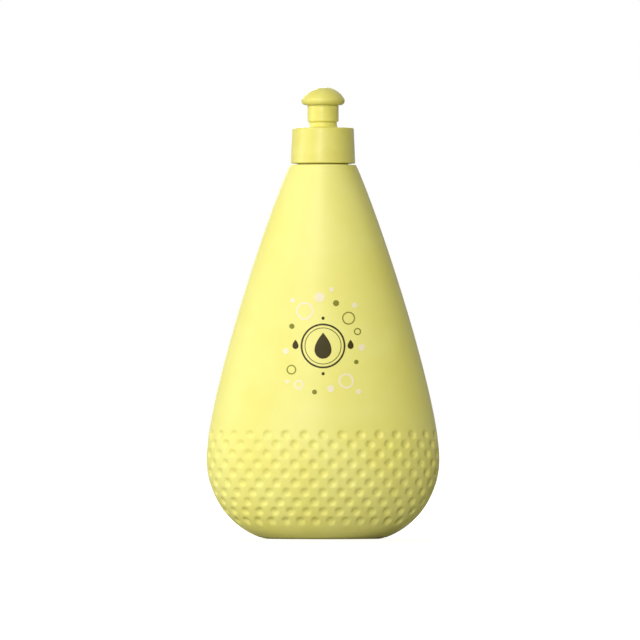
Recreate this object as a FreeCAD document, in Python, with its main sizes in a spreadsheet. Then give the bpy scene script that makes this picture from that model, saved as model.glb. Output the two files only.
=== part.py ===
import FreeCAD, Part
import math
import os

import Sketcher

# Squeeze bottle for washing-up liquid, closed by a screw cap with a push-pull spout.
# Z is up, the bottle stands on Z = 0 with its axis on Z, and its broad front faces -Y.

doc = FreeCAD.newDocument("SqueezeBottle")
Vector = FreeCAD.Vector
UP = Vector(0, 0, 1)


# Driving dimensions, in millimetres

SIZES = [
    # Bottle: a flat foot, a bowl up to the belly, and a long flank up to the shoulder
    ("belly_height", 39.5, "height of the widest section"),
    ("belly_half_wide", 57.7, "half width there, seen from the front"),
    ("belly_half_deep", 34.6, "half depth there, seen from the side"),
    ("bowl_drop", 40.7, "vertical reach of the bowl's curve under the belly"),
    ("bowl_wide", 38.3, "its inward reach, seen from the front"),
    ("bowl_deep", 22.5, "its inward reach, seen from the side"),
    ("shoulder_height", 185.3, "height of the flat ring under the neck"),
    ("shoulder_radius", 16.3, "radius of that ring, which is round"),
    ("flank_low_pull", 30.1, "rise of the flank before it leans in"),
    ("flank_top_pull", 24.6, "drop of the flank that runs straight under the shoulder"),
    ("flank_lean_wide", 0.46, "its lean there, seen from the front"),
    ("flank_lean_deep", 0.17, "its lean there, seen from the side"),
    ("wall", 1.3, "blown wall"),
    ("foot_land", 4.5, "width of the ring that the bottle stands on"),
    ("foot_recess", 1.6, "height of the recess inside that ring"),
    ("recess_taper", 2.2, "how far the recess closes in over its height"),
    # Neck finish
    ("neck_radius", 12.6, "neck at the root of its thread"),
    ("neck_bore_radius", 10.75, "bore of the neck"),
    ("neck_tall", 16.8, "shoulder ring to sealing land"),
    ("neck_lip", 0.5, "bevel round the land"),
    # Dimples round the lower third
    ("dimple_rows", 10, "rows of dimples"),
    ("dimple_low_row", 9.2, "height of the lowest row"),
    ("dimple_row_rise", 4.73, "height from row to row"),
    ("dimple_pitches", 31, "pitches round the whole bottle"),
    ("dimples_beside_middle", 7, "dimples each side of the middle one"),
    ("dimple_radius", 2.65, "mouth of a dimple"),
    ("dimple_floor_radius", 1.1, "floor of a dimple"),
    ("dimple_depth", 0.85, "depth of a dimple"),
    ("dimple_sides", 6, "flats that stand for its round wall"),
    # Screw cap
    ("skirt_gap", 0.7, "shoulder ring to skirt"),
    ("skirt_low_radius", 16.0, "skirt at its open end"),
    ("skirt_top_radius", 15.3, "skirt at the deck, drawn in by its draft"),
    ("skirt_inner_radius", 14.0, "skirt inside, at the root of its thread"),
    ("skirt_corner", 0.9, "rounding between skirt and deck"),
    ("skirt_lip", 0.4, "bevel round the open end"),
    ("deck_thick", 1.6, "deck over the neck"),
    ("plug_clearance", 0.15, "plug seal to the bore of the neck"),
    ("plug_wall", 1.1, "wall of the plug seal"),
    ("plug_tall", 3.2, "drop of the plug seal into the neck"),
    ("plug_lead", 0.5, "bevel that leads the plug seal in"),
    # Spout on the cap
    ("collar_radius", 6.9, "collar under the pull top"),
    ("collar_tall", 2.6, "deck to collar top"),
    ("collar_flare", 0.9, "flare of the collar into the deck"),
    ("spout_radius", 6.1, "spout that the pull top slides on"),
    ("spout_bore_radius", 4.9, "bore of the spout"),
    ("spout_bead", 0.35, "bead that stops the pull top, proud of the spout"),
    ("spout_bead_tall", 1.1, "height of that bead"),
    ("spout_nose", 0.6, "tapered end of the spout above the bead"),
    ("pin_radius", 1.45, "pin that plugs the orifice"),
    ("pin_root_radius", 1.9, "pin at its arms"),
    ("pin_bevel", 0.3, "bevel round its end"),
    ("pin_shy", 0.3, "how far the pin ends below the top of the pull top"),
    ("arm_count", 3, "arms that carry the pin"),
    ("arm_thick", 1.2, "thickness of an arm"),
    ("arm_tall", 3.0, "height of an arm"),
    ("arm_rise", 4.4, "deck to the underside of the arms"),
    # Pull top
    ("travel", 5.0, "travel of the pull top"),
    ("slide_clearance", 0.15, "between the sliding walls"),
    ("stop_clearance", 0.2, "between faces that meet at the ends of the travel"),
    ("sleeve_radius", 7.75, "sleeve outside"),
    ("sleeve_lip", 0.65, "bevel round its lower end"),
    ("sleeve_tall", 8.5, "lower end to the brim's underside"),
    ("sleeve_bead_tall", 1.5, "height of the inner bead at its lower end"),
    ("brim_root_radius", 9.2, "where the brim's nose starts"),
    ("brim_nose_radius", 2.25, "rounding of the brim"),
    ("brim_rise", 3.6, "underside of the brim to the start of the dome"),
    ("brim_top_radius", 10.25, "where the dome starts"),
    ("dome_rise", 5.3, "start of the dome to its flat top"),
    ("dome_curve", 12.0, "rounding of the dome"),
    ("dome_flat_radius", 2.2, "flat round the orifice"),
    ("orifice_clearance", 0.15, "orifice to pin"),
    ("orifice_tall", 1.8, "length of the orifice"),
    ("roof_drop", 2.5, "fall of the inner roof to the sleeve's bore"),
]

sheet = doc.addObject("Spreadsheet::Sheet", "sizes")
for row, (name, value, note) in enumerate(SIZES, start=1):
    sheet.set(f"A{row}", name)
    sheet.set(f"B{row}", str(value))
    sheet.setAlias(f"B{row}", name)
    sheet.set(f"C{row}", note)
doc.recompute()


class Size:
    """A length with the formula that it came from, so that it can be drawn and also bound."""

    def __init__(self, value, formula):
        self.value = float(value)
        self.formula = formula

    def __add__(self, other):
        other = as_size(other)
        return Size(self.value + other.value, f"({self.formula} + {other.formula})")

    def __sub__(self, other):
        other = as_size(other)
        return Size(self.value - other.value, f"({self.formula} - {other.formula})")

    def __rmul__(self, factor):
        return Size(factor * self.value, f"({factor:.9f} * {self.formula})")

    def __truediv__(self, other):
        return Size(self.value / other.value, f"({self.formula} / {other.formula})")


def as_size(number):
    return number if isinstance(number, Size) else Size(number, f"{number}")


def size(name):
    return Size(sheet.get(name), f"sizes.{name}")


ZERO = as_size(0)


# Building blocks

def ring(label, height, half_wide, half_deep):
    """An ellipse across the axis."""
    curve = doc.addObject("Part::Ellipse", label)
    curve.setExpression("MajorRadius", half_wide.formula)
    curve.setExpression("MinorRadius", half_deep.formula)
    curve.setExpression(".Placement.Base.z", height.formula)
    return curve


def quartered(curve):
    """The ring as a wire of four arcs, which meet between its front, sides and back."""
    first, last = curve.Shape.Edges[0].ParameterRange
    step = (last - first) / 4
    ellipse = curve.Shape.Edges[0].Curve
    starts = [first + (i + 0.5) * step for i in range(4)]
    return Part.Wire([ellipse.toShape(start, start + step) for start in starts])


def loft(label, rings, ruled=False):
    """A solid through a stack of rings."""
    curves = [ring(f"{label}_ring_{i}", *place) for i, place in enumerate(rings)]
    doc.recompute()
    solid = doc.addObject("Part::Feature", label)
    solid.Shape = Part.makeLoft([quartered(curve) for curve in curves], True, ruled)
    return solid


def cylinder(label, radius, low, high):
    rod = doc.addObject("Part::Cylinder", label)
    rod.setExpression("Radius", radius.formula)
    rod.setExpression("Height", (high - low).formula)
    rod.setExpression(".Placement.Base.z", low.formula)
    return rod


def cone(label, low_radius, high_radius, low, high):
    rod = doc.addObject("Part::Cone", label)
    rod.setExpression("Radius1", low_radius.formula)
    rod.setExpression("Radius2", high_radius.formula)
    rod.setExpression("Height", (high - low).formula)
    rod.setExpression(".Placement.Base.z", low.formula)
    return rod


def fuse(label, pieces):
    whole = doc.addObject("Part::MultiFuse", label)
    whole.Shapes = pieces
    whole.Refine = False
    return whole


def cut(label, base, tool):
    rest = doc.addObject("Part::Cut", label)
    rest.Base = base
    rest.Tool = tool
    rest.Refine = False
    return rest


# Bottle: one blown shell with an oval section that turns round at the shoulder

WALL = size("wall")
BELLY = (size("belly_half_wide"), size("belly_half_deep"))
BOWL = (size("bowl_wide"), size("bowl_deep"))
LEAN = (size("flank_lean_wide"), size("flank_lean_deep"))
SHOULDER = size("shoulder_height")
BOWL_SHARES = (1.0, 0.85, 0.7, 0.52, 0.34, 0.17)
FLANK_SHARES = (0.0, 0.15, 0.3, 0.45, 0.6, 0.75, 0.9, 1.0)


def trig(function, share, sine):
    """Sine or cosine of a share of the angle whose sine is given."""
    number = getattr(math, function)(share * math.asin(sine.value))
    return Size(number, f"{function}({share} * asin({sine.formula}))")


def times(one, other):
    return Size(one.value * other.value, f"({one.formula} * {other.formula})")


def outline(inset, floor):
    """Rings of the bottle from the floor to the shoulder, drawn in by the inset."""
    rings = []
    drop = size("bowl_drop") - inset
    sine = (size("belly_height") - floor) / drop
    for share in BOWL_SHARES:
        height = size("belly_height") - times(drop, trig("sin", share, sine))
        reach = as_size(1) - trig("cos", share, sine)
        halves = [half - inset - times(bowl - inset, reach) for half, bowl in zip(BELLY, BOWL)]
        rings.append((height, *halves))
    top = SHOULDER - inset
    radius = size("shoulder_radius") - inset
    for share in FLANK_SHARES:
        height = flank(share, size("belly_height"), size("belly_height") + size("flank_low_pull"),
                       top - size("flank_top_pull"), top)
        halves = []
        for half, lean in zip(BELLY, LEAN):
            straight = radius + times(lean, size("flank_top_pull"))
            halves.append(flank(share, half - inset, half - inset, straight, radius))
        rings.append((height, *halves))
    return rings


def flank(share, start, start_pull, end_pull, end):
    """A point of the flank's curve, which leaves the belly upright and meets the shoulder leaning."""
    rest = 1 - share
    return (rest ** 3 * start + 3 * rest ** 2 * share * start_pull
            + 3 * rest * share ** 2 * end_pull + share ** 3 * end)


outer = loft("outer_form", outline(ZERO, ZERO))
inner = loft("inner_form", outline(WALL, WALL))

foot = outline(ZERO, ZERO)[0]
recess_mouth = [half - size("foot_land") for half in foot[1:]]
recess_roof = [half - size("recess_taper") for half in recess_mouth]
recess = loft("foot_recess", [(ZERO, *recess_mouth), (size("foot_recess"), *recess_roof)], ruled=True)
rise_top = size("foot_recess") + WALL
rise = loft("floor_rise", [(ZERO, *[half + WALL for half in recess_mouth]),
                           (rise_top, *[half + WALL for half in recess_roof])], ruled=True)

LAND = SHOULDER + size("neck_tall")
lip = size("neck_lip")
neck = cylinder("neck_tube", size("neck_radius"), SHOULDER - WALL, LAND - lip)
neck_lip = cone("neck_lip", size("neck_radius"), size("neck_radius") - lip, LAND - lip, LAND)
bore = cylinder("neck_bore", size("neck_bore_radius"), SHOULDER - 2 * WALL, LAND + WALL)
doc.recompute()


def dimple_cup():
    """A cup with flat sides, its mouth in the plane Z = 0, its floor below it."""
    slope = (sheet.dimple_radius - sheet.dimple_floor_radius) / sheet.dimple_depth
    above = sheet.dimple_depth
    levels = [(-sheet.dimple_depth, sheet.dimple_floor_radius),
              (above, sheet.dimple_radius + slope * above)]
    sides = int(sheet.dimple_sides)
    floor, mouth = [[Vector(radius * math.cos(turn), radius * math.sin(turn), height)
                     for turn in (2 * math.pi * i / sides for i in range(sides))]
                    for height, radius in levels]
    faces = [Part.Face(Part.makePolygon(loop + loop[:1])) for loop in (floor, mouth)]
    for i in range(sides):
        j = (i + 1) % sides
        corners = [floor[i], floor[j], mouth[j], mouth[i], floor[i]]
        faces.append(Part.Face(Part.makePolygon(corners)))
    return Part.Solid(Part.Shell(faces))


def outward(sides, point):
    """The outward direction at a point that lies on one of the sides."""
    feet = [(side, side.Surface.parameter(point)) for side in sides]
    side, foot = min(feet, key=lambda pair: pair[0].Surface.value(*pair[1]).distanceToPoint(point))
    return side.normalAt(*foot)


def dimple_cups(form):
    """Cups in staggered rows on the front and the back, equally spaced along each row."""
    cup = dimple_cup()
    sides = [face for face in form.Faces if face.Surface.TypeId == "Part::GeomBSplineSurface"]
    pitches = int(sheet.dimple_pitches)
    cups = []
    for row in range(int(sheet.dimple_rows)):
        height = sheet.dimple_low_row + row * sheet.dimple_row_rise
        girth = Part.Wire(form.slice(UP, height)[0])
        quarter_steps = girth.discretize(Number=4 * pitches + 1)
        staggered = (int(sheet.dimple_rows) - 1 - row) % 2
        beside = int(sheet.dimples_beside_middle)
        offsets = [4 * n + 2 * staggered for n in range(-beside, beside + 1 - staggered)]
        for middle in (pitches, 3 * pitches):
            for offset in offsets:
                point = quarter_steps[middle + offset]
                turn = FreeCAD.Rotation(UP, outward(sides, point))
                placed = cup.copy()
                placed.Placement = FreeCAD.Placement(point, turn)
                cups.append(placed)
    return Part.makeCompound(cups)


blank = cut("blank", fuse("shell", [outer, neck, neck_lip]), recess)
cavity = cut("cavity", inner, rise)
cups = doc.addObject("Part::Feature", "dimple_cups")
cups.Shape = dimple_cups(outer.Shape)
dimpled = cut("dimpled", blank, cups)
doc.recompute()

# The cavity touches no other wall, so its skin becomes the inside of the bottle as it is
skins = [dimpled.Shape.Shells[0], cavity.Shape.Shells[0].reversed()]
walled = doc.addObject("Part::Feature", "walled")
walled.Shape = Part.makeSolid(Part.makeCompound(skins))
bottle = cut("bored", walled, bore)
bottle.Label = "bottle"


# Turned pieces: a closed outline of lines and arcs in the plane Y = 0, spun about Z

def arc(start, end, radius):
    """The short arc from start to end that bulges to the right of the way there."""
    chord = end - start
    right = Vector(chord.y, -chord.x, 0).normalize()
    centre = (start + end) * 0.5 - right * math.sqrt(radius ** 2 - chord.Length ** 2 / 4)
    return Part.Arc(start, centre + right * radius, end)


def bind(sketch, constraint, length):
    index = sketch.addConstraint(constraint)
    sketch.setExpression(f"Constraints[{index}]", length.formula)


def outline_sketch(body, label, corners):
    """Each corner is (radius, height), or (radius, height, radius of the arc that leads there)."""
    sketch = body.newObject("Sketcher::SketchObject", label)
    plane = next(face for face in body.Origin.OriginFeatures if face.Role == "XZ_Plane")
    sketch.AttachmentSupport = [(plane, "")]
    sketch.MapMode = "FlatFace"
    points = [Vector(corner[0].value, corner[1].value, 0) for corner in corners]
    onward = [(i + 1) % len(corners) for i in range(len(corners))]
    heads = []
    for i, j in enumerate(onward):
        side = (arc(points[i], points[j], corners[j][2].value) if len(corners[j]) == 3
                else Part.LineSegment(points[i], points[j]))
        sketch.addGeometry(side, False)
        runs_forward = (sketch.getPoint(i, 1) - points[i]).Length < 1e-6
        heads.append((1, 2) if runs_forward else (2, 1))
    for i, j in enumerate(onward):
        sketch.addConstraint(Sketcher.Constraint("Coincident", i, heads[i][1], j, heads[j][0]))
        if len(corners[j]) == 3:
            bind(sketch, Sketcher.Constraint("Radius", i, corners[j][2].value), corners[j][2])
        across, up = corners[i][:2]
        if across is ZERO:
            sketch.addConstraint(Sketcher.Constraint("PointOnObject", i, heads[i][0], -2))
        else:
            bind(sketch, Sketcher.Constraint("DistanceX", -1, 1, i, heads[i][0], across.value), across)
        bind(sketch, Sketcher.Constraint("DistanceY", -1, 1, i, heads[i][0], up.value), up)
    return sketch


def turned(body, label, corners):
    sketch = outline_sketch(body, f"{label}_outline", corners)
    doc.recompute()
    spin = body.newObject("PartDesign::Revolution", label)
    spin.Profile = sketch
    spin.ReferenceAxis = (sketch, ["V_Axis"])
    spin.Angle = 360
    return spin


# Screw cap: skirt, deck, plug seal and spout in one moulding, with a pin on three arms in the spout

DECK = LAND + size("deck_thick")
SKIRT_LOW = SHOULDER + size("skirt_gap")
COLLAR_TOP = DECK + size("collar_tall")
SLEEVE_LOW = COLLAR_TOP + size("stop_clearance")
SLEEVE_BEAD_TOP = SLEEVE_LOW + size("sleeve_bead_tall")
SPOUT_BEAD_LOW = SLEEVE_BEAD_TOP + size("travel") + size("stop_clearance")
SPOUT_BEAD_TOP = SPOUT_BEAD_LOW + size("spout_bead_tall")
SPOUT_TOP = SPOUT_BEAD_TOP + size("spout_nose")
BRIM = SLEEVE_LOW + size("sleeve_tall")
DOME = BRIM + size("brim_rise")
TOP = DOME + size("dome_rise")
ORIFICE_LOW = TOP - size("orifice_tall")

skirt_lip = size("skirt_lip")
corner = size("skirt_corner")
collar_radius = size("collar_radius")
flare = size("collar_flare")
spout_radius = size("spout_radius")
bead_radius = spout_radius + size("spout_bead")
nose_radius = bead_radius - size("spout_nose")
spout_bore = size("spout_bore_radius")
plug_radius = size("neck_bore_radius") - size("plug_clearance")
plug_inside = plug_radius - size("plug_wall")
plug_low = LAND - size("plug_tall")
plug_lead = size("plug_lead")

cap = doc.addObject("PartDesign::Body", "cap")
turned(cap, "cap_moulding", [
    (size("skirt_inner_radius"), SKIRT_LOW),
    (size("skirt_low_radius") - skirt_lip, SKIRT_LOW),
    (size("skirt_low_radius"), SKIRT_LOW + skirt_lip),
    (size("skirt_top_radius"), DECK - corner),
    (size("skirt_top_radius") - corner, DECK, corner),
    (collar_radius + flare, DECK),
    (collar_radius, DECK + flare),
    (collar_radius, COLLAR_TOP),
    (spout_radius, COLLAR_TOP),
    (spout_radius, SPOUT_BEAD_LOW),
    (bead_radius, SPOUT_BEAD_LOW),
    (bead_radius, SPOUT_BEAD_TOP),
    (nose_radius, SPOUT_TOP),
    (spout_bore, SPOUT_TOP),
    (spout_bore, LAND),
    (plug_inside, LAND),
    (plug_inside, plug_low),
    (plug_radius - plug_lead, plug_low),
    (plug_radius, plug_low + plug_lead),
    (plug_radius, LAND),
    (size("skirt_inner_radius"), LAND),
])

arm_low = DECK + size("arm_rise")
arm_top = arm_low + size("arm_tall")
arm_sketch = cap.newObject("Sketcher::SketchObject", "arm_outline")
ground = next(face for face in cap.Origin.OriginFeatures if face.Role == "XY_Plane")
arm_sketch.AttachmentSupport = [(ground, "")]
arm_sketch.MapMode = "FlatFace"
arm_sketch.setExpression(".AttachmentOffset.Base.z", arm_low.formula)
half_thick = 0.5 * size("arm_thick")
reach = 0.5 * (spout_bore + spout_radius)
arm_corners = [Vector(0, -half_thick.value, 0), Vector(reach.value, -half_thick.value, 0),
               Vector(reach.value, half_thick.value, 0), Vector(0, half_thick.value, 0)]
for i in range(4):
    arm_sketch.addGeometry(Part.LineSegment(arm_corners[i], arm_corners[(i + 1) % 4]), False)
for i in range(4):
    arm_sketch.addConstraint(Sketcher.Constraint("Coincident", i, 2, (i + 1) % 4, 1))
arm_sketch.addConstraint(Sketcher.Constraint("Horizontal", 0))
arm_sketch.addConstraint(Sketcher.Constraint("Horizontal", 2))
arm_sketch.addConstraint(Sketcher.Constraint("Vertical", 1))
arm_sketch.addConstraint(Sketcher.Constraint("PointOnObject", 0, 1, -2))
arm_sketch.addConstraint(Sketcher.Constraint("Symmetric", 0, 1, 3, 1, -1, 1))
bind(arm_sketch, Sketcher.Constraint("DistanceX", 0, 1, 0, 2, reach.value), reach)
bind(arm_sketch, Sketcher.Constraint("DistanceY", 1, 1, 1, 2, 2 * half_thick.value), 2 * half_thick)
doc.recompute()
arm = cap.newObject("PartDesign::Pad", "arm")
arm.Profile = arm_sketch
arm.setExpression("Length", size("arm_tall").formula)
doc.recompute()
arms = cap.newObject("PartDesign::PolarPattern", "arms")
arms.Originals = [arm]
arms.Axis = (arm_sketch, ["N_Axis"])
arms.Angle = 360
arms.setExpression("Occurrences", size("arm_count").formula)
cap.Tip = arms
doc.recompute()

pin_radius = size("pin_radius")
pin_root = size("pin_root_radius")
pin_top = TOP - size("pin_shy")
turned(cap, "pin", [
    (ZERO, arm_low),
    (pin_root, arm_low),
    (pin_root, arm_top),
    (pin_radius, ORIFICE_LOW - size("stop_clearance")),
    (pin_radius, pin_top - size("pin_bevel")),
    (pin_radius - size("pin_bevel"), pin_top),
    (ZERO, pin_top),
])


# Pull top: a mushroom knob whose sleeve slides on the spout and whose orifice lifts off the pin

sleeve = size("sleeve_radius")
sleeve_bore = bead_radius + size("slide_clearance")
sleeve_throat = spout_radius + size("slide_clearance")
orifice = pin_radius + size("orifice_clearance")

pull_top = doc.addObject("PartDesign::Body", "pull_top")
turned(pull_top, "knob", [
    (sleeve_throat, SLEEVE_LOW),
    (sleeve - size("sleeve_lip"), SLEEVE_LOW),
    (sleeve, SLEEVE_LOW + size("sleeve_lip")),
    (sleeve, BRIM),
    (size("brim_root_radius"), BRIM),
    (size("brim_top_radius"), DOME, size("brim_nose_radius")),
    (size("dome_flat_radius"), TOP, size("dome_curve")),
    (orifice, TOP),
    (orifice, ORIFICE_LOW),
    (sleeve_bore, ORIFICE_LOW - size("roof_drop")),
    (sleeve_bore, SLEEVE_BEAD_TOP),
    (sleeve_throat, SLEEVE_BEAD_TOP),
])


# Every piece is checked, then written

doc.recompute()
pieces = [bottle, cap, pull_top]
for thing in doc.Objects:
    if "Invalid" in thing.State or "Error" in thing.State:
        raise RuntimeError(f"{thing.Label} failed: {thing.State}")
for piece in pieces:
    if piece.Shape.isNull() or not piece.Shape.isValid() or len(piece.Shape.Solids) != 1:
        raise RuntimeError(f"{piece.Label} is not one sound solid")

os.makedirs("parts", exist_ok=True)
for piece in pieces:
    piece.Shape.exportStep(f"parts/{piece.Label}.step")
    box = piece.Shape.BoundBox
    print(f"{piece.Label}: {piece.Shape.Volume / 1000:.2f} cm3, Z {box.ZMin:.2f} to {box.ZMax:.2f}")
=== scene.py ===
import bpy
import math
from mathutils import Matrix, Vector


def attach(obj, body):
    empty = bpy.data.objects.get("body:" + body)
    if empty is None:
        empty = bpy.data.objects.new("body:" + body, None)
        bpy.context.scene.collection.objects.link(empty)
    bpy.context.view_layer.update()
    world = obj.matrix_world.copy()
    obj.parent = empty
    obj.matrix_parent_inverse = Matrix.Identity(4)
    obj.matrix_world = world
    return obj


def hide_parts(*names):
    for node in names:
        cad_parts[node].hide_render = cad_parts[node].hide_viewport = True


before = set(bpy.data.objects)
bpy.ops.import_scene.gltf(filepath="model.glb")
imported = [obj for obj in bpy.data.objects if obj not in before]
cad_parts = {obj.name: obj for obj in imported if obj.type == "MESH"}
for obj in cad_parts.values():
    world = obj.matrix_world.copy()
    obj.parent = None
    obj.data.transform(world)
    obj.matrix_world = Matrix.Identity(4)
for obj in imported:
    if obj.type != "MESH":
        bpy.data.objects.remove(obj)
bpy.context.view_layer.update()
MM = 0.001


# Squeeze bottle: one blow-moulded shell of satin polyethylene, oval at the belly and round at the
# shoulder, with staggered dimples pressed in round the lower third so that a wet hand can grip it.
# A line of half widths, half depths and heights is swept into ovals, and the dimples are pressed in.

# Sizes are in millimetres. A pair is the size across the broad face, then the size in depth, but
# the flank's pulls are those of its curve at the belly and at the shoulder.
SEAM_PROUD = 0.06
WALL = 1.3
FOOT_LAND = 4.5
FOOT_RECESS = 1.6
RECESS_TAPER = 2.2
BELLY = (57.7 - SEAM_PROUD, 34.59)
BELLY_HEIGHT = 39.5
BOWL = (38.3, 22.5)
BOWL_DROP = 40.7
SHOULDER = 185.3
SHOULDER_RADIUS = 16.3
FLANK_PULLS = (30.1, 24.6)
FLANK_LEANS = (0.46, 0.17)
FLANK_END = 0.985
NECK_RADIUS = 12.6
NECK_BORE = 10.75
NECK_BEAD_UP = 3.5
LAND = 202.1
FLOOR_TURN = math.radians(66)
DIMPLE_ROWS = 10
DIMPLE_LOW_ROW = 9.2
DIMPLE_RISE = 4.73
DIMPLE_PITCHES = 31
DIMPLES_BESIDE = 7
DIMPLE_RADIUS = 2.3
DIMPLE_DEPTH = 0.85
DIMPLE_RIM = 0.05
DIMPLE_STEEP = 2.3
COLUMNS = 16 * DIMPLE_PITCHES
STEPS_PER_ROW = 10


def bowl_oval(turn, inset=0.0):
    """Half width, half depth and height on the bowl, a turn below the belly."""
    halves = [half - inset - (reach - inset) * (1 - math.cos(turn)) for half, reach in zip(BELLY, BOWL)]
    return (*halves, BELLY_HEIGHT - (BOWL_DROP - inset) * math.sin(turn))


def flank_oval(share, inset=0.0):
    """Half width, half depth and height on the flank, a share of the way up from the belly."""
    rest = 1 - share
    weights = (rest ** 3, 3 * rest ** 2 * share, 3 * rest * share ** 2, share ** 3)
    top = SHOULDER - inset
    radius = SHOULDER_RADIUS - inset
    pulls = [(BELLY_HEIGHT, BELLY_HEIGHT + FLANK_PULLS[0], top - FLANK_PULLS[1], top)]
    for half, lean in zip(BELLY, FLANK_LEANS):
        pulls.insert(-1, (half - inset, half - inset, radius + lean * FLANK_PULLS[1], radius))
    return tuple(sum(w * p for w, p in zip(weights, four)) for four in pulls)


def bowl_turn(height):
    return math.asin((BELLY_HEIGHT - height) / BOWL_DROP)


def flank_share(height):
    """The share of the flank that reaches a height, found by halving."""
    low, high = 0.0, 1.0
    for _ in range(40):
        share = (low + high) / 2
        low, high = (share, high) if flank_oval(share)[2] < height else (low, share)
    return share


def oval_at(height):
    """The bottle's oval at a height."""
    return bowl_oval(bowl_turn(height)) if height < BELLY_HEIGHT else flank_oval(flank_share(height))


def steps(count, start=0.0, end=1.0):
    """Evenly spaced numbers after the start, up to the end."""
    return [start + (end - start) * (i + 1) / count for i in range(count)]


def foot_line():
    """The recess in the foot, its softly curved side and the flat land round it."""
    foot = oval_at(0)
    mouth = [half - FOOT_LAND for half in foot[:2]]
    roof = [half - RECESS_TAPER for half in mouth]
    line = [(0, 0, FOOT_RECESS)]
    line += [(roof[0] * share, roof[1] * share, FOOT_RECESS) for share in (0.4, 0.8, 0.97)]
    line += [(roof[0] + RECESS_TAPER * out, roof[1] + RECESS_TAPER * out, FOOT_RECESS * up)
             for out, up in ((0.06, 0.98), (0.3, 0.76), (0.7, 0.28), (0.93, 0.04))]
    line += [(foot[0] - inside, foot[1] - inside, 0) for inside in (3.9, 2.2, 0.5)]
    floor = FOOT_RECESS + WALL
    return line, [(roof[0] + WALL, roof[1] + WALL, floor), (0, 0, floor)]


def neck_line():
    """Radii and heights of the flat shoulder, the neck with its bead, the rounded lip and the bore."""
    line = [(SHOULDER_RADIUS - 0.1, SHOULDER), (SHOULDER_RADIUS - 0.4, SHOULDER),
            (NECK_RADIUS + 0.6, SHOULDER), (NECK_RADIUS + 0.15, SHOULDER + 0.08),
            (NECK_RADIUS, SHOULDER + 0.4)]
    bead = ((0, -0.9), (0.15, -0.65), (0.75, -0.4), (0.95, 0), (0.75, 0.4), (0.15, 0.65), (0, 0.9))
    line += [(NECK_RADIUS + out, SHOULDER + NECK_BEAD_UP + up) for out, up in bead]
    line += [(NECK_RADIUS, LAND - 1.0), (NECK_RADIUS, LAND - 0.5), (NECK_RADIUS - 0.15, LAND - 0.15),
             (NECK_RADIUS - 0.5, LAND)]
    line += [(NECK_BORE + 0.4, LAND), (NECK_BORE + 0.1, LAND - 0.1), (NECK_BORE, LAND - 0.4),
             (NECK_BORE, LAND - 1.0)]
    return line + [(NECK_BORE, SHOULDER - WALL), (NECK_BORE + 0.4, SHOULDER - WALL - 0.2)]


def bottle_line():
    """The bottle's wall from the middle of its foot, up the outside and down the inside."""
    line, inner_floor = foot_line()
    # The rows of the skin lie half a step above and below the middle of each row of dimples
    low = DIMPLE_LOW_ROW - DIMPLE_RISE / (2 * STEPS_PER_ROW)
    high = low + DIMPLE_RISE * DIMPLE_ROWS
    line += [bowl_oval(turn) for turn in steps(14, bowl_turn(0), bowl_turn(low))]
    line += [oval_at(height) for height in steps(STEPS_PER_ROW * DIMPLE_ROWS, low, high)]
    line += [flank_oval(share) for share in steps(30, flank_share(high), FLANK_END)]
    line += [flank_oval(share) for share in (0.994, 0.998)]
    line += [(radius, radius, height) for radius, height in neck_line()]
    line += [flank_oval(share, WALL) for share in steps(5, 1.0, 0.0)]
    line += [bowl_oval(turn, WALL) for turn in steps(4, 0, FLOOR_TURN)]
    return line + inner_floor


def line_object(name, points, runs):
    """Points in millimetres and the runs between them, as the start of a piece."""
    mesh = bpy.data.meshes.new(name)
    mesh.from_pydata([[MM * x for x in point] for point in points], runs, [])
    made = bpy.data.objects.new(name, mesh)
    bpy.context.collection.objects.link(made)
    return made


def add_node(tree, kind, links=None, **settings):
    """Adds a node with its settings. Links gives each input a value or another node's output."""
    made = tree.nodes.new(kind)
    for name, value in settings.items():
        setattr(made, name, value)
    for place, value in (links or {}).items():
        if isinstance(value, bpy.types.NodeSocket):
            tree.links.new(value, made.inputs[place])
        else:
            made.inputs[place].default_value = value
    return made


def new_shape_tree(name, inputs):
    """An empty Geometry Nodes tree, its inputs by name and the node that ends it."""
    tree = bpy.data.node_groups.new(name, "GeometryNodeTree")
    tree.interface.new_socket("Geometry", in_out="INPUT", socket_type="NodeSocketGeometry")
    tree.interface.new_socket("Geometry", in_out="OUTPUT", socket_type="NodeSocketGeometry")
    for label, kind in inputs:
        tree.interface.new_socket(label, in_out="INPUT", socket_type=f"NodeSocket{kind}")
    start = add_node(tree, "NodeGroupInput")
    return tree, {socket.name: socket for socket in start.outputs}, add_node(tree, "NodeGroupOutput")


def shaped(thing, tree, values):
    """Runs the tree on the object and keeps its result as a plain mesh."""
    modifier = thing.modifiers.new(tree.name, "NODES")
    modifier.node_group = tree
    for item in tree.interface.items_tree:
        if item.in_out == "INPUT" and item.name in values:
            modifier[item.identifier] = values[item.name]
    bpy.context.view_layer.update()
    evaluated = thing.evaluated_get(bpy.context.evaluated_depsgraph_get())
    mesh = bpy.data.meshes.new_from_object(evaluated)
    thing.modifiers.remove(modifier)
    thing.data = mesh
    mesh.name = thing.name
    if mesh.materials[0] is None:
        mesh.materials.pop(index=0)
    return thing


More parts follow.
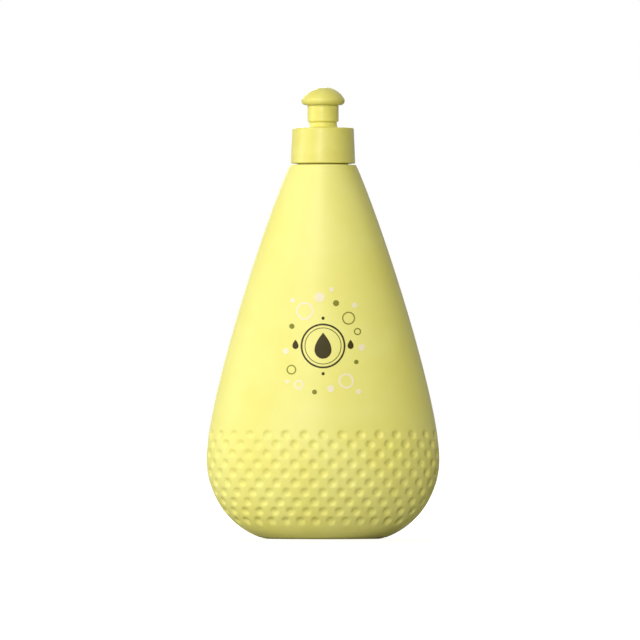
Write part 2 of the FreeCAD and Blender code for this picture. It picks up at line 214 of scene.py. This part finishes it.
def oval_points(tree, line, count):
    """Nodes that turn each point of a line into an oval of evenly spaced points, its first in front."""
    place = add_node(tree, "GeometryNodeInputPosition").outputs[0]
    halves = add_node(tree, "ShaderNodeSeparateXYZ", {0: place})
    size = add_node(tree, "ShaderNodeCombineXYZ", {0: halves.outputs[1], 1: halves.outputs[0], 2: 1.0})
    kept = add_node(tree, "GeometryNodeCaptureAttribute", {"Geometry": line})
    kept.capture_items.new("VECTOR", "Size")
    tree.links.new(size.outputs[0], kept.inputs[1])
    axis = add_node(tree, "ShaderNodeCombineXYZ", {2: halves.outputs[2]}).outputs[0]
    on_axis = add_node(tree, "GeometryNodeSetPosition", {"Geometry": kept.outputs[0], "Position": axis})
    round_line = add_node(tree, "GeometryNodeCurvePrimitiveCircle", {"Resolution": 720, "Radius": 1.0})
    ovals = add_node(tree, "GeometryNodeInstanceOnPoints", {
        "Points": on_axis.outputs[0], "Instance": round_line.outputs[0],
        "Rotation": (0, 0, -math.pi / 2), "Scale": kept.outputs[1]})
    loose = add_node(tree, "GeometryNodeRealizeInstances", {0: ovals.outputs[0]})
    return add_node(tree, "GeometryNodeResampleCurve", {"Curve": loose.outputs[0], "Count": count}).outputs[0]


def swept_skin(tree, line, columns):
    """Nodes that lay a closed skin over the ovals of a line, facing out where the line runs up."""
    ovals = oval_points(tree, line, columns)
    rows = add_node(tree, "GeometryNodeAttributeDomainSize", {0: line}, component="MESH").outputs[0]
    across = add_node(tree, "ShaderNodeMath", {0: columns, 1: 1.0}, operation="ADD").outputs[0]
    grid = add_node(tree, "GeometryNodeMeshGrid", {"Vertices X": rows, "Vertices Y": across})
    # Each point of the grid takes its place from an oval: the last column lies on the first
    index = add_node(tree, "GeometryNodeInputIndex").outputs[0]
    row = add_node(tree, "ShaderNodeMath", {0: index, 1: across}, operation="DIVIDE").outputs[0]
    row = add_node(tree, "ShaderNodeMath", {0: row}, operation="FLOOR").outputs[0]
    column = add_node(tree, "ShaderNodeMath", {0: index, 1: across}, operation="MODULO").outputs[0]
    column = add_node(tree, "ShaderNodeMath", {0: column, 1: columns}, operation="MODULO").outputs[0]
    source = add_node(tree, "ShaderNodeMath", {0: row, 1: columns, 2: column}, operation="MULTIPLY_ADD")
    place = add_node(tree, "GeometryNodeInputPosition").outputs[0]
    found = add_node(tree, "GeometryNodeSampleIndex", {
        "Geometry": ovals, "Value": place, "Index": source.outputs[0]}, data_type="FLOAT_VECTOR")
    laid = add_node(tree, "GeometryNodeSetPosition", {
        "Geometry": grid.outputs[0], "Position": found.outputs[0]})
    closed = add_node(tree, "GeometryNodeMergeByDistance", {
        "Geometry": laid.outputs[0], "Distance": 0.01 * MM})
    return add_node(tree, "GeometryNodeFlipFaces", {0: closed.outputs[0]}).outputs[0]


def finished(tree, skin, material, end):
    """The last nodes of a tree: real geometry, smooth, with its material."""
    real = add_node(tree, "GeometryNodeRealizeInstances", {0: skin})
    smooth = add_node(tree, "GeometryNodeSetShadeSmooth", {"Geometry": real.outputs[0]})
    painted = add_node(tree, "GeometryNodeSetMaterial", {"Geometry": smooth.outputs[0], "Material": material})
    tree.links.new(painted.outputs[0], end.inputs[0])


def linear(code):
    """The linear colour of an sRGB hex code."""
    shares = [int(code[i:i + 2], 16) / 255 for i in (0, 2, 4)]
    return (*[s / 12.92 if s <= 0.04045 else ((s + 0.055) / 1.055) ** 2.4 for s in shares], 1.0)


def new_material(name):
    material = bpy.data.materials.new(name)
    material.use_nodes = True
    tree = material.node_tree
    return material, tree, tree.nodes["Principled BSDF"]


def clouded(tree, shader, cloud, deep, pale):
    """Gives the plastic two close tints that follow a noise."""
    tint = add_node(tree, "ShaderNodeValToRGB", {0: cloud.outputs[0]})
    for element, position, code in zip(tint.color_ramp.elements, (0.35, 0.65), (deep, pale)):
        element.position = position
        element.color = linear(code)
    tree.links.new(tint.outputs[0], shader.inputs["Base Color"])


# High-density polyethylene, blown in a sand-blasted mould: a satin skin with a soft, wide highlight,
# a faint unevenness where the wall cooled, and a slightly deeper yellow where the wall is thicker.
# The blasted grain is finer than a pixel, so it is drawn 0.8 mm coarse.
polyethylene, tree, shader = new_material("blown_polyethylene")
place = add_node(tree, "ShaderNodeTexCoord").outputs["Object"]
cloud = add_node(tree, "ShaderNodeTexNoise", {"Vector": place, "Scale": 1 / (30 * MM), "Detail": 2.0})
clouded(tree, shader, cloud, "F1EB82", "F4F08F")
grain = add_node(tree, "ShaderNodeTexNoise", {"Vector": place, "Scale": 1 / (0.8 * MM), "Detail": 3.0})
waves = add_node(tree, "ShaderNodeTexNoise", {"Vector": place, "Scale": 1 / (22 * MM), "Detail": 1.0})
sand = add_node(tree, "ShaderNodeBump", {
    "Strength": 0.06, "Distance": 0.05 * MM, "Height": grain.outputs[0]})
sag = add_node(tree, "ShaderNodeBump", {
    "Strength": 0.35, "Distance": 0.5 * MM, "Height": waves.outputs[0], "Normal": sand.outputs[0]})
tree.links.new(sag.outputs[0], shader.inputs["Normal"])
satin = add_node(tree, "ShaderNodeMapRange", {"Value": grain.outputs[0], "To Min": 0.40, "To Max": 0.50})
tree.links.new(satin.outputs[0], shader.inputs["Roughness"])
shader.inputs["IOR"].default_value = 1.54
shader.inputs["Specular IOR Level"].default_value = 0.28
shader.inputs["Subsurface Weight"].default_value = 0.08
shader.inputs["Subsurface Radius"].default_value = (1.0, 0.95, 0.35)
shader.inputs["Subsurface Scale"].default_value = 2 * MM

tree, sockets, end = new_shape_tree("dimpled_bottle", (
    ("Columns", "Int"), ("Dimple rows", "Object"), ("Dimple pitches", "Int"), ("Dimples beside", "Int"),
    ("Dimple radius", "Float"), ("Dimple depth", "Float"), ("Rim softness", "Float"),
    ("Side steepness", "Float")))
skin = swept_skin(tree, sockets["Geometry"], sockets["Columns"])
row_line = add_node(tree, "GeometryNodeObjectInfo", {"Object": sockets["Dimple rows"]}).outputs["Geometry"]
quarters = add_node(tree, "ShaderNodeMath", {0: sockets["Dimple pitches"], 1: 4.0},
                    operation="MULTIPLY").outputs[0]
marks = oval_points(tree, row_line, quarters)
# Counted in quarter pitches, each row runs out from the middle of the front or of the back, and
# every other row is moved on by half a pitch.
index = add_node(tree, "GeometryNodeInputIndex").outputs[0]
beside = add_node(tree, "ShaderNodeMath", {0: index, 1: sockets["Dimple pitches"]},
                  operation="PINGPONG").outputs[0]
row = add_node(tree, "ShaderNodeMath", {0: index, 1: quarters}, operation="DIVIDE").outputs[0]
row = add_node(tree, "ShaderNodeMath", {0: row}, operation="FLOOR").outputs[0]
shift = add_node(tree, "ShaderNodeMath", {0: row, 1: 1.0}, operation="ADD").outputs[0]
shift = add_node(tree, "ShaderNodeMath", {0: shift, 1: 2.0}, operation="MODULO").outputs[0]
step = add_node(tree, "ShaderNodeMath", {0: shift, 1: 2.0, 2: beside}, operation="MULTIPLY_ADD").outputs[0]
step = add_node(tree, "ShaderNodeMath", {0: step, 1: 0.5}, operation="ADD").outputs[0]
step = add_node(tree, "ShaderNodeMath", {0: step, 1: 4.0}, operation="MODULO").outputs[0]
off_step = add_node(tree, "ShaderNodeMath", {0: step, 1: 1.0}, operation="GREATER_THAN").outputs[0]
reach = add_node(tree, "ShaderNodeMath", {0: sockets["Dimples beside"], 1: 4.0, 2: 0.5},
                 operation="MULTIPLY_ADD").outputs[0]
too_far = add_node(tree, "ShaderNodeMath", {0: beside, 1: reach}, operation="GREATER_THAN").outputs[0]
spare = add_node(tree, "ShaderNodeMath", {0: off_step, 1: too_far}, operation="MAXIMUM").outputs[0]
points = add_node(tree, "GeometryNodeCurveToPoints", {"Curve": marks}, mode="EVALUATED").outputs[0]
centres = add_node(tree, "GeometryNodeDeleteGeometry", {"Geometry": points, "Selection": spare}).outputs[0]
# A cup is deepest at its centre, and its side steepens up to a softly rounded rim.
near = add_node(tree, "GeometryNodeProximity", {0: centres}, target_element="POINTS").outputs["Distance"]
share = add_node(tree, "ShaderNodeMath", {0: near, 1: sockets["Dimple radius"]},
                 operation="DIVIDE").outputs[0]
share = add_node(tree, "ShaderNodeMath", {0: share, 1: sockets["Side steepness"]},
                 operation="POWER").outputs[0]
cup = add_node(tree, "ShaderNodeMath", {0: share, 1: 1.0, 2: sockets["Rim softness"]},
               operation="SMOOTH_MIN").outputs[0]
inwards = add_node(tree, "ShaderNodeMath", {0: cup, 1: 1.0}, operation="SUBTRACT").outputs[0]
inwards = add_node(tree, "ShaderNodeMath", {0: inwards, 1: sockets["Dimple depth"]},
                   operation="MULTIPLY").outputs[0]
facing = add_node(tree, "GeometryNodeInputNormal").outputs[0]
push = add_node(tree, "ShaderNodeVectorMath", {0: facing, "Scale": inwards}, operation="SCALE").outputs[0]
# Only the outer wall is pressed in: it faces away from the middle of the foot.
place = add_node(tree, "GeometryNodeInputPosition").outputs[0]
away = add_node(tree, "ShaderNodeVectorMath", {0: facing, 1: place},
                operation="DOT_PRODUCT").outputs["Value"]
outside = add_node(tree, "ShaderNodeMath", {0: away, 1: 0.0}, operation="GREATER_THAN").outputs[0]
dimpled = add_node(tree, "GeometryNodeSetPosition", {
    "Geometry": skin, "Selection": outside, "Offset": push})
finished(tree, dimpled.outputs[0], polyethylene, end)

row_ovals = [oval_at(DIMPLE_LOW_ROW + DIMPLE_RISE * i) for i in range(DIMPLE_ROWS)]
dimple_rows = line_object("dimple_rows", row_ovals, [])
wall_line = bottle_line()
wall_runs = [(i, i + 1) for i in range(len(wall_line) - 1)]
bottle = shaped(line_object("bottle_shell", wall_line, wall_runs), tree, {
    "Columns": COLUMNS, "Dimple rows": dimple_rows, "Dimple pitches": DIMPLE_PITCHES,
    "Dimples beside": DIMPLES_BESIDE, "Dimple radius": DIMPLE_RADIUS * MM,
    "Dimple depth": DIMPLE_DEPTH * MM, "Rim softness": DIMPLE_RIM, "Side steepness": DIMPLE_STEEP})
bpy.data.objects.remove(dimple_rows)
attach(bottle, "bottle")
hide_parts("bottle")


# Parting line of the bottle: the two halves of the mould leave a fine ridge up both sides, and the
# pinched-off end of the blown tube leaves one across the recess of the foot.

SEAM_THICK = 0.42
SEAM_LOW_TURN = math.radians(74)
SEAM_TOP = 0.995
FOOT_SEAM_GAP = 0.3


def seam_lines():
    """Points of the two side ridges and of the one under the foot, and the runs between them."""
    sunk = SEAM_THICK / 2 - SEAM_PROUD
    side = [bowl_oval(turn) for turn in steps(40, SEAM_LOW_TURN, 0)]
    side += [flank_oval(share) for share in steps(60, 0, SEAM_TOP)]
    roof = oval_at(0)[0] - FOOT_LAND - RECESS_TAPER - FOOT_SEAM_GAP
    lines = [[(way * (wide - sunk), 0, height) for wide, _, height in side] for way in (1, -1)]
    lines.append([(roof * share, 0, FOOT_RECESS + sunk) for share in steps(12, -1.0, 1.0)])
    points, runs = [], []
    for line in lines:
        runs += [(len(points) + i, len(points) + i + 1) for i in range(len(line) - 1)]
        points += line
    return points, runs


tree, sockets, end = new_shape_tree("mould_seam", (("Thickness", "Float"),))
path = add_node(tree, "GeometryNodeMeshToCurve", {"Mesh": sockets["Geometry"]}).outputs[0]
half = add_node(tree, "ShaderNodeMath", {0: sockets["Thickness"], 1: 0.5}, operation="MULTIPLY").outputs[0]
rod = add_node(tree, "GeometryNodeCurvePrimitiveCircle", {"Resolution": 8, "Radius": half})
ridge = add_node(tree, "GeometryNodeCurveToMesh", {
    "Curve": path, "Profile Curve": rod.outputs[0], "Fill Caps": True})
finished(tree, ridge.outputs[0], polyethylene, end)
seam = shaped(line_object("bottle_seam", *seam_lines()), tree, {"Thickness": SEAM_THICK * MM})
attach(seam, "bottle")


# Thread of the neck: one and a half turns of a rounded ridge, blown with the neck, which fades out
# at both ends. The cap's own thread uses the same tree, half a pitch lower.

PITCH = 4.23
NECK_THREAD_RIDGE = 1.15
NECK_THREAD_LOW = 193.2
NECK_THREAD_TURNS = 1.5
THREAD_FADE = 0.08
THREAD_TIP = 0.05

tree, sockets, end = new_shape_tree("screw_thread", (
    ("Root radius", "Float"), ("Ridge", "Float"), ("Low end", "Float"), ("Turns", "Float"),
    ("Pitch", "Float"), ("Plastic", "Material")))
climb = add_node(tree, "ShaderNodeMath", {0: sockets["Turns"], 1: sockets["Pitch"]},
                 operation="MULTIPLY").outputs[0]
helix = add_node(tree, "GeometryNodeCurveSpiral", {
    "Resolution": 96, "Rotations": sockets["Turns"], "Start Radius": sockets["Root radius"],
    "End Radius": sockets["Root radius"], "Height": climb, "Reverse": True})
lift = add_node(tree, "ShaderNodeCombineXYZ", {2: sockets["Low end"]}).outputs[0]
raised = add_node(tree, "GeometryNodeSetPosition", {"Geometry": helix.outputs[0], "Offset": lift})
along = add_node(tree, "GeometryNodeSplineParameter").outputs["Factor"]
from_end = add_node(tree, "ShaderNodeMath", {0: along, 1: 0.5}, operation="PINGPONG").outputs[0]
fade = add_node(tree, "ShaderNodeMapRange", {
    "Value": from_end, "From Max": THREAD_FADE, "To Min": THREAD_TIP}, interpolation_type="SMOOTHSTEP")
thinned = add_node(tree, "GeometryNodeSetCurveRadius", {
    "Curve": raised.outputs[0], "Radius": fade.outputs[0]})
rod = add_node(tree, "GeometryNodeCurvePrimitiveCircle", {"Resolution": 14, "Radius": sockets["Ridge"]})
ridge = add_node(tree, "GeometryNodeCurveToMesh", {
    "Curve": thinned.outputs[0], "Profile Curve": rod.outputs[0], "Fill Caps": True})
finished(tree, ridge.outputs[0], sockets["Plastic"], end)
thread_tree = tree


def thread(name, radius, ridge, low, turns, plastic):
    """A right-handed thread with its root on a radius, from a low end upwards."""
    return shaped(line_object(name, [(0, 0, 0)], []), thread_tree, {
        "Root radius": radius * MM, "Ridge": ridge * MM, "Low end": low * MM, "Turns": turns,
        "Pitch": PITCH * MM, "Plastic": plastic})


neck_thread = thread("neck_thread", NECK_RADIUS, NECK_THREAD_RIDGE, NECK_THREAD_LOW, NECK_THREAD_TURNS,
                     polyethylene)
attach(neck_thread, "bottle")


# Print on the front: soap bubbles in three screen-printed inks, each a film that follows the wall.
# Every bubble is drawn flat, then thrown onto the bottle from in front.

# Each bubble has its place to the right of and above the middle of the print, and its radius.
PRINT_HEIGHT = 97.0
INK_SUNK = 0.03
INK_THICK = 0.07
DARK_RING = ((0, -1.5, 10.6),)
FINE_RING = ((0, -1.5, 8.9),)
OLIVE_RINGS = ((12.6, 12.2, 2.9), (-15.6, -13.2, 2.1), (17.0, 5.6, 1.5))
CREAM_RINGS = ((-9.0, 15.8, 3.9), (11.4, -18.8, 3.3), (-12.0, -20.6, 2.0))
DROPS = ((0, -3.6, 4.2), (-13.6, -1.5, 1.5), (13.6, -1.5, 1.5))
DARK_DISCS = ((0, 12.2, 0.8), (0, -15.2, 0.8))
OLIVE_DISCS = ((-15.4, 8.2, 1.3), (6.4, 19.6, 1.5), (16.4, -9.4, 1.1), (-4.2, -24.2, 1.2))
CREAM_DISCS = ((-1.8, 22.6, 2.4), (-15.0, 21.0, 1.2), (4.2, 26.4, 1.1), (15.6, 18.6, 1.3),
               (-18.4, -4.0, 1.5), (19.0, -2.2, 1.6), (3.8, -22.6, 1.7), (-17.6, -19.0, 1.0),
               (17.6, -24.0, 1.2))
BROAD_STROKE = 0.9
MIDDLE_STROKE = 0.6
FINE_STROKE = 0.35
DROP_HOLLOW = 0.7
DROP_STRETCH = 1.1
STAND_OFF = 100.0


def laid_on(tree, flat, wall, height, sunk, thickness):
    """Nodes that throw a flat drawing onto the wall from in front and give it the ink's thickness."""
    place = add_node(tree, "GeometryNodeInputPosition").outputs[0]
    place = add_node(tree, "ShaderNodeSeparateXYZ", {0: place}).outputs
    up = add_node(tree, "ShaderNodeMath", {0: place[1], 1: height}, operation="ADD").outputs[0]
    before = add_node(tree, "ShaderNodeCombineXYZ", {0: place[0], 1: -STAND_OFF * MM, 2: up}).outputs[0]
    ray = add_node(tree, "GeometryNodeRaycast", {
        "Target Geometry": wall, "Source Position": before, "Ray Direction": (0, 1, 0),
        "Ray Length": 2 * STAND_OFF * MM})
    into = add_node(tree, "ShaderNodeMath", {0: sunk, 1: -1.0}, operation="MULTIPLY").outputs[0]
    press = add_node(tree, "ShaderNodeVectorMath", {0: ray.outputs["Hit Normal"], "Scale": into},
                     operation="SCALE").outputs[0]
    under = add_node(tree, "GeometryNodeSetPosition", {
        "Geometry": flat, "Position": ray.outputs["Hit Position"], "Offset": press}).outputs[0]
    top = add_node(tree, "GeometryNodeExtrudeMesh", {
        "Mesh": under, "Offset Scale": thickness, "Individual": False})
    # The drawing itself, turned over, closes the film against the wall
    closing = add_node(tree, "GeometryNodeFlipFaces", {0: under}).outputs[0]
    both = add_node(tree, "GeometryNodeJoinGeometry", {0: top.outputs[0]})
    tree.links.new(closing, both.inputs[0])
    film = add_node(tree, "GeometryNodeMergeByDistance", {
        "Geometry": both.outputs[0], "Distance": 0.001 * MM})
    fold = add_node(tree, "GeometryNodeInputMeshEdgeAngle").outputs[0]
    rim = add_node(tree, "ShaderNodeMath", {0: fold, 1: 0.5}, operation="GREATER_THAN").outputs[0]
    return add_node(tree, "GeometryNodeSetShadeSmooth", {
        "Geometry": film.outputs[0], "Selection": rim, "Shade Smooth": False}, domain="EDGE").outputs[0]


tree, sockets, end = new_shape_tree("printed_bubbles", (
    ("Bottle", "Object"), ("Middle height", "Float"), ("Ink sunk", "Float"), ("Ink thickness", "Float"),
    ("Stroke", "Float"), ("Point", "Float"), ("Ink", "Material")))
wall = add_node(tree, "GeometryNodeObjectInfo", {"Object": sockets["Bottle"]}).outputs["Geometry"]
radius = add_node(tree, "GeometryNodeInputNamedAttribute", {"Name": "bubble_radius"}).outputs[0]
hoop = add_node(tree, "GeometryNodeCurvePrimitiveCircle", {"Resolution": 72, "Radius": 1.0}).outputs[0]
plate = add_node(tree, "GeometryNodeMeshCone", {
    "Vertices": 48, "Side Segments": 6, "Radius Top": 0.0, "Radius Bottom": 1.0, "Depth": 0.0},
    fill_type="NONE")
# A point of 0 leaves the disc round, and a point of 1 draws its upper half out to a drop's tip.
place = add_node(tree, "GeometryNodeInputPosition").outputs[0]
place = add_node(tree, "ShaderNodeSeparateXYZ", {0: place}).outputs
upper = add_node(tree, "ShaderNodeMath", {0: place[1], 1: 0.0}, operation="MAXIMUM").outputs[0]
upper = add_node(tree, "ShaderNodeMath", {0: upper, 1: sockets["Point"]}, operation="MULTIPLY").outputs[0]
waist = add_node(tree, "ShaderNodeMath", {0: upper, 1: 2.0}, operation="POWER").outputs[0]
waist = add_node(tree, "ShaderNodeMath", {0: 1.0, 1: waist}, operation="SUBTRACT").outputs[0]
waist = add_node(tree, "ShaderNodeMath", {0: waist, 1: DROP_HOLLOW}, operation="POWER").outputs[0]
across = add_node(tree, "ShaderNodeMath", {0: place[0], 1: waist}, operation="MULTIPLY").outputs[0]
up = add_node(tree, "ShaderNodeMath", {0: upper, 1: DROP_STRETCH, 2: place[1]},
              operation="MULTIPLY_ADD").outputs[0]
pulled = add_node(tree, "ShaderNodeCombineXYZ", {0: across, 1: up}).outputs[0]
drop = add_node(tree, "GeometryNodeSetPosition", {"Geometry": plate.outputs[0], "Position": pulled})
drawn = []
for shape in (hoop, drop.outputs[0]):
    set_out = add_node(tree, "GeometryNodeInstanceOnPoints", {
        "Points": sockets["Geometry"], "Instance": shape, "Scale": radius})
    drawn.append(add_node(tree, "GeometryNodeRealizeInstances", {0: set_out.outputs[0]}).outputs[0])
half = add_node(tree, "ShaderNodeMath", {0: sockets["Stroke"], 1: 0.5}, operation="MULTIPLY").outputs[0]
back = add_node(tree, "ShaderNodeMath", {0: half, 1: -1.0}, operation="MULTIPLY").outputs[0]
nib = add_node(tree, "GeometryNodeCurvePrimitiveLine", {
    "Start": add_node(tree, "ShaderNodeCombineXYZ", {0: back}).outputs[0],
    "End": add_node(tree, "ShaderNodeCombineXYZ", {0: half}).outputs[0]})
upright = add_node(tree, "GeometryNodeSetCurveNormal", {"Curve": drawn[0]}, mode="Z_UP")
rings = add_node(tree, "GeometryNodeCurveToMesh", {
    "Curve": upright.outputs[0], "Profile Curve": nib.outputs[0]})
discs = add_node(tree, "GeometryNodeMergeByDistance", {"Geometry": drawn[1], "Distance": 0.01 * MM})
# With a stroke the bubbles are rings, and without one they are discs or drops.
stroked = add_node(tree, "ShaderNodeMath", {0: sockets["Stroke"], 1: 0.0},
                   operation="GREATER_THAN").outputs[0]
flat = add_node(tree, "GeometryNodeSwitch", {
    "Switch": stroked, "False": discs.outputs[0], "True": rings.outputs[0]}, input_type="GEOMETRY").outputs[0]
film = laid_on(tree, flat, wall, sockets["Middle height"], sockets["Ink sunk"], sockets["Ink thickness"])
finished(tree, film, sockets["Ink"], end)
print_tree = tree


def ink(name, code):
    """Screen-printing ink: opaque, a little rougher than the plastic, with a faintly uneven body."""
    material, tree, shader = new_material(name)
    place = add_node(tree, "ShaderNodeTexCoord").outputs["Object"]
    cloud = add_node(tree, "ShaderNodeTexNoise", {"Vector": place, "Scale": 1 / (1.5 * MM), "Detail": 3.0})
    full = linear(code)
    thin = (*[0.93 * share for share in full[:3]], 1.0)
    # Inputs 6 and 7 of the node are its two colours
    body = add_node(tree, "ShaderNodeMix", {"Factor": cloud.outputs[0], 6: full, 7: thin}, data_type="RGBA")
    tree.links.new(body.outputs[2], shader.inputs["Base Color"])
    gloss = add_node(tree, "ShaderNodeMapRange", {"Value": cloud.outputs[0], "To Min": 0.45, "To Max": 0.6})
    tree.links.new(gloss.outputs[0], shader.inputs["Roughness"])
    shader.inputs["Specular IOR Level"].default_value = 0.2
    return material


def printed(name, bubbles, material, stroke=0.0, point=0.0):
    """Prints bubbles in one ink, as rings if they have a stroke."""
    drawing = line_object(name, [(across, up, 0) for across, up, _ in bubbles], [])
    sizes = drawing.data.attributes.new("bubble_radius", "FLOAT", "POINT")
    sizes.data.foreach_set("value", [MM * radius for _, _, radius in bubbles])
    shaped(drawing, print_tree, {
        "Bottle": bottle, "Middle height": PRINT_HEIGHT * MM, "Ink sunk": INK_SUNK * MM,
        "Ink thickness": INK_THICK * MM, "Stroke": stroke * MM, "Point": point, "Ink": material})
    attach(drawing, "bottle")


dark_ink = ink("dark_olive_ink", "3A3100")
olive_ink = ink("olive_ink", "8A8A30")
cream_ink = ink("cream_ink", "FDF3D5")
printed("print_dark_rings", DARK_RING, dark_ink, stroke=BROAD_STROKE)
printed("print_fine_rings", FINE_RING, dark_ink, stroke=FINE_STROKE)
printed("print_drop", DROPS, dark_ink, point=1.0)
printed("print_dark_dots", DARK_DISCS, dark_ink)
printed("print_olive_rings", OLIVE_RINGS, olive_ink, stroke=MIDDLE_STROKE)
printed("print_olive_dots", OLIVE_DISCS, olive_ink)
printed("print_cream_rings", CREAM_RINGS, cream_ink, stroke=BROAD_STROKE)
printed("print_cream_dots", CREAM_DISCS, cream_ink)


# Screw cap and pull top: two injection mouldings that snap together and keep the solids' shapes.
# Both are satin polypropylene, a little smoother and deeper in colour than the blown bottle.

CAP_THREAD_RADIUS = 14.0
CAP_THREAD_RIDGE = 1.0
CAP_THREAD_LOW = NECK_THREAD_LOW - PITCH / 2
CAP_THREAD_TURNS = 1.3

# Polypropylene from a vapour-blasted mould: an even satin with a tighter highlight than the bottle's,
# and the faint clouding that the pigment leaves where the plastic flowed. The grain is drawn 0.6 mm
# coarse, as it wouldn't show at its real size.
polypropylene, tree, shader = new_material("moulded_polypropylene")
place = add_node(tree, "ShaderNodeTexCoord").outputs["Object"]
flow = add_node(tree, "ShaderNodeTexNoise", {
    "Vector": place, "Scale": 1 / (9 * MM), "Detail": 2.0, "Distortion": 0.6})
clouded(tree, shader, flow, "E8E174", "EDE77E")
shader.inputs["IOR"].default_value = 1.49
shader.inputs["Specular IOR Level"].default_value = 0.35
grain = add_node(tree, "ShaderNodeTexNoise", {"Vector": place, "Scale": 1 / (0.6 * MM), "Detail": 2.0})
sand = add_node(tree, "ShaderNodeBump", {
    "Strength": 0.05, "Distance": 0.04 * MM, "Height": grain.outputs[0]})
tree.links.new(sand.outputs[0], shader.inputs["Normal"])
satin = add_node(tree, "ShaderNodeMapRange", {"Value": grain.outputs[0], "To Min": 0.32, "To Max": 0.42})
tree.links.new(satin.outputs[0], shader.inputs["Roughness"])
for name in ("cap", "pull_top"):
    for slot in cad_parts[name].material_slots:
        slot.material = polypropylene

cap_thread = thread("cap_thread", CAP_THREAD_RADIUS, CAP_THREAD_RIDGE, CAP_THREAD_LOW, CAP_THREAD_TURNS,
                    polypropylene)
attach(cap_thread, "cap")


# Studio: a sheet of matt paper under the bottle, two soft lights on the left in front, which rake
# the dimples, a weak one from the left side, and a wide one that lights the back.

# Sizes and places here are in metres.
FLOOR_REACH = 6.0
SHADE_NEAR = 0.10
SHADE_FAR = 0.45
NEAR_WHITE = 0.72
ROOM_LIGHT = 0.14
ROOM_YELLOW = (1.0, 0.93, 0.25, 1.0)
WARM_WHITE = (1.0, 0.98, 0.98)
PLAIN_WHITE = (1.0, 1.0, 1.0)
LIT_POINT = Vector((0, 0, 0.1))

# The paper throws little light up at the bottle. The camera sees it as near white, with the bottle's
# shadow, and as pure white further out, where it meets the background.
paper, tree, shader = new_material("white_paper")
shader.inputs["Base Color"].default_value = linear("A8A8A6")
shader.inputs["Roughness"].default_value = 0.9
place = add_node(tree, "ShaderNodeTexCoord").outputs["Object"]
away = add_node(tree, "ShaderNodeVectorMath", {0: place}, operation="LENGTH").outputs["Value"]
white = add_node(tree, "ShaderNodeMapRange", {
    "Value": away, "From Min": SHADE_NEAR, "From Max": SHADE_FAR, "To Min": NEAR_WHITE, "To Max": 1.0})
seen = add_node(tree, "ShaderNodeLightPath").outputs["Is Camera Ray"]
glow = add_node(tree, "ShaderNodeMath", {0: seen, 1: white.outputs[0]}, operation="MULTIPLY").outputs[0]
shader.inputs["Emission Color"].default_value = (1, 1, 1, 1)
tree.links.new(glow, shader.inputs["Emission Strength"])
mesh = bpy.data.meshes.new("floor")
corners = [(x * FLOOR_REACH, y * FLOOR_REACH, 0) for x, y in ((-1, -1), (1, -1), (1, 1), (-1, 1))]
mesh.from_pydata(corners, [], [(0, 1, 2, 3)])
mesh.materials.append(paper)
floor = bpy.data.objects.new("floor", mesh)
bpy.context.collection.objects.link(floor)

# The camera, the gloss and any clear plastic see a white room. The light that the room throws on the
# bottle is weak, and as yellow as the bottle makes it, so that the shade keeps its colour.
world = bpy.data.worlds.new("white_room")
bpy.context.scene.world = world
world.use_nodes = True
tree = world.node_tree
rays = add_node(tree, "ShaderNodeLightPath").outputs
direct = add_node(tree, "ShaderNodeMath", {0: rays["Is Camera Ray"], 1: rays["Is Glossy Ray"]},
                  operation="MAXIMUM").outputs[0]
direct = add_node(tree, "ShaderNodeMath", {0: direct, 1: rays["Is Transmission Ray"]},
                  operation="MAXIMUM").outputs[0]
strength = add_node(tree, "ShaderNodeMapRange", {"Value": direct, "To Min": ROOM_LIGHT, "To Max": 1.0})
hue = add_node(tree, "ShaderNodeMix", {"Factor": direct, 6: ROOM_YELLOW, 7: (*PLAIN_WHITE, 1.0)},
               data_type="RGBA")
tree.links.new(hue.outputs[2], tree.nodes["Background"].inputs["Color"])
tree.links.new(strength.outputs[0], tree.nodes["Background"].inputs["Strength"])


def soft_light(name, place, size, power, colour):
    """A round area light that faces the middle of the bottle."""
    lamp = bpy.data.lights.new(name, "AREA")
    lamp.color = colour
    lamp.shape = "DISK"
    lamp.size = size
    lamp.energy = power
    made = bpy.data.objects.new(name, lamp)
    made.location = place
    made.rotation_euler = (LIT_POINT - Vector(place)).to_track_quat("-Z", "Y").to_euler()
    bpy.context.collection.objects.link(made)


soft_light("main", (-0.4, -2.0, 0.75), 0.3, 24.2, WARM_WHITE)
soft_light("key", (-1.35, -1.2, 1.2), 0.15, 12.8, WARM_WHITE)
soft_light("side", (-1.9, -0.2, 0.35), 0.7, 7, PLAIN_WHITE)
soft_light("back", (-0.3, 1.9, 0.9), 0.9, 29, PLAIN_WHITE)


# Camera: level with the bottle and 5 m off, through a long lens, because the photograph shows no
# narrowing with distance. At the bottle the picture is 640 pixels of 0.496 mm wide.

FRAME_WIDE = 0.3174
CAMERA_REACH = 5.0
CAMERA_HEIGHT = 0.09
SENSOR_WIDE = 36

camera = bpy.data.objects.new("camera", bpy.data.cameras.new("camera"))
bpy.context.collection.objects.link(camera)
aim = Vector((-0.0015, 0, 0.1084))
camera.location = (aim.x, -CAMERA_REACH, CAMERA_HEIGHT)
camera.rotation_euler = (aim - camera.location).to_track_quat("-Z", "Y").to_euler()
camera.data.sensor_width = SENSOR_WIDE
camera.data.lens = SENSOR_WIDE * CAMERA_REACH / FRAME_WIDE
camera.data.clip_end = 20
bpy.context.scene.camera = camera
bpy.context.scene.view_settings.view_transform = "Standard"
